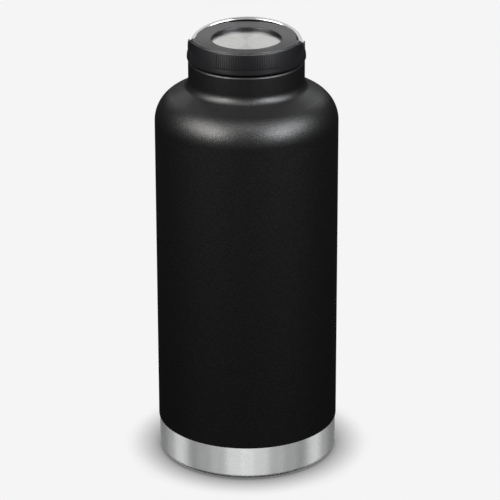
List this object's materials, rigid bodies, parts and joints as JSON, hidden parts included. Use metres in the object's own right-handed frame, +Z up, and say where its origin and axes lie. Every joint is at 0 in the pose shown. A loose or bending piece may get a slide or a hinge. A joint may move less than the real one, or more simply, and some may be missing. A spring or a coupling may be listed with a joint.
{
  "type": "growler",
  "caption": "Double-wall vacuum growler with a wide screw-in plug cap, a folding carry bail and a bare steel base band.",
  "frame": {"origin": "centre of the standing ring, on the surface that the bottle stands on", "axes": "+Z up along the bottle, -Y the front, where the cap's grip ribs are, +X along the bail's pivots to the right"},
  "size_m": [0.115, 0.115, 0.2791],
  "materials": {
    "black_powder_coat": "fine-textured satin black powder coat",
    "brushed_steel": "bare stainless steel, brushed round the bottle",
    "inner_steel": "electropolished stainless steel",
    "spun_steel": "stainless steel disc with a turned face",
    "polished_steel": "polished stainless steel",
    "black_polypropylene": "moulded black polypropylene with a fine matt grain",
    "silicone": "dark silicone rubber",
    "white_foam": "closed-cell foam",
    "getter_alloy": "pressed getter powder",
    "solder_glass": "fused solder glass",
    "adhesive_film": "double-sided adhesive film"
  },
  "bodies": {
    "bottle": {"outer_shell": "black_powder_coat", "base_cup": "brushed_steel", "inner_liner": "inner_steel", "liner_bottom": "inner_steel", "getter": "getter_alloy", "getter_clip": "inner_steel", "port_seal": "solder_glass", "base_disc": "brushed_steel"},
    "seal": {"rim_gasket": "silicone"},
    "cap": {"cap_shell": "black_polypropylene", "threaded_plug": "black_polypropylene", "plug_insulation": "white_foam", "plug_liner": "inner_steel", "top_disc": "spun_steel", "disc_adhesive": "adhesive_film", "pivot_pin_left": "polished_steel", "pivot_pin_right": "polished_steel"},
    "carry_bail": {"bail": "polished_steel"}
  },
  "joints": [
    {"name": "cap_rise", "type": "slide", "parent": "bottle", "child": "seal", "axis": [0, 0, 1], "range_m": [0, 0.03]},
    {"name": "cap_turn", "type": "hinge", "parent": "seal", "child": "cap", "pos_m": [0, 0, 0.265], "axis": [0, 0, 1], "range_deg": [0, 1800]},
    {"name": "bail_swing", "type": "hinge", "parent": "cap", "child": "carry_bail", "pos_m": [0, 0, 0.2718], "axis": [1, 0, 0], "range_deg": [0, 108]}
  ],
  "couplings": [
    {"joint": "cap_rise", "follows": "cap_turn", "m_per_rad": 0.00095493}
  ]
}
